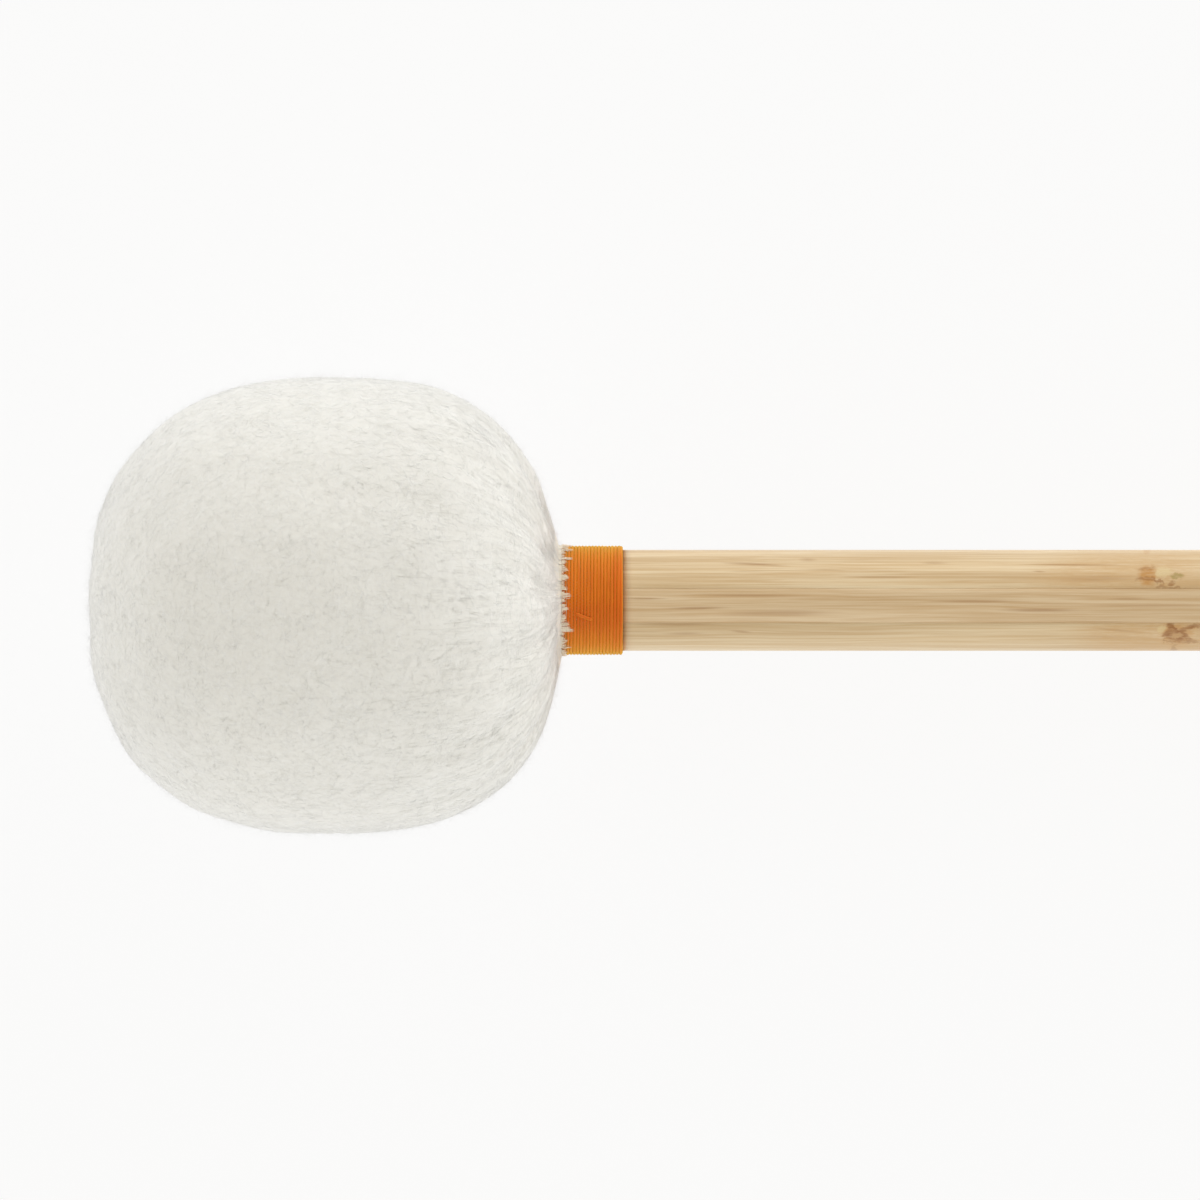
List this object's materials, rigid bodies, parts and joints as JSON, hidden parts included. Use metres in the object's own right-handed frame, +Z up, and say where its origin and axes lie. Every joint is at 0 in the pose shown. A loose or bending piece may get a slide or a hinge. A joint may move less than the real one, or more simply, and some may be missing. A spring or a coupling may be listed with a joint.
{
  "type": "bass drum mallet",
  "caption": "Soft round fleece-covered head on a straight laminated bamboo shaft, gathered and bound with thread at the neck, for striking a large drum.",
  "frame": {"origin": "on the surface that the mallet lies on, under the middle of its bounding box", "axes": "+X along the mallet from the head to the butt of the shaft, which slopes down to the surface; +Z up"},
  "size_m": [0.3992, 0.073, 0.0726],
  "materials": {
    "bamboo": "light bamboo strip, sanded and thinly sealed",
    "pale_bamboo": "paler bamboo strip, sanded and thinly sealed",
    "core_wood": "turned maple, unfinished",
    "pin_wood": "beech dowel",
    "core_felt": "firm grey-white wool felt",
    "padding_wool": "soft needled wool",
    "fleece": "off-white short pile fleece, matt and fuzzy",
    "tie_cord": "waxed linen cord",
    "orange_thread": "orange polyester thread, close wound, satin"
  },
  "bodies": {
    "root": {"shaft_board_far": "bamboo", "shaft_board_middle": "pale_bamboo", "shaft_board_near": "bamboo", "head_core": "core_wood", "core_pin": "pin_wood", "felt_wrap": "core_felt", "felt_pad_front": "core_felt", "felt_pad_rear": "core_felt", "padding_layer": "padding_wool", "head_cover": "fleece", "neck_tie": "tie_cord", "binding_underwinding": "orange_thread", "binding_thread": "orange_thread"}
  },
  "joints": []
}
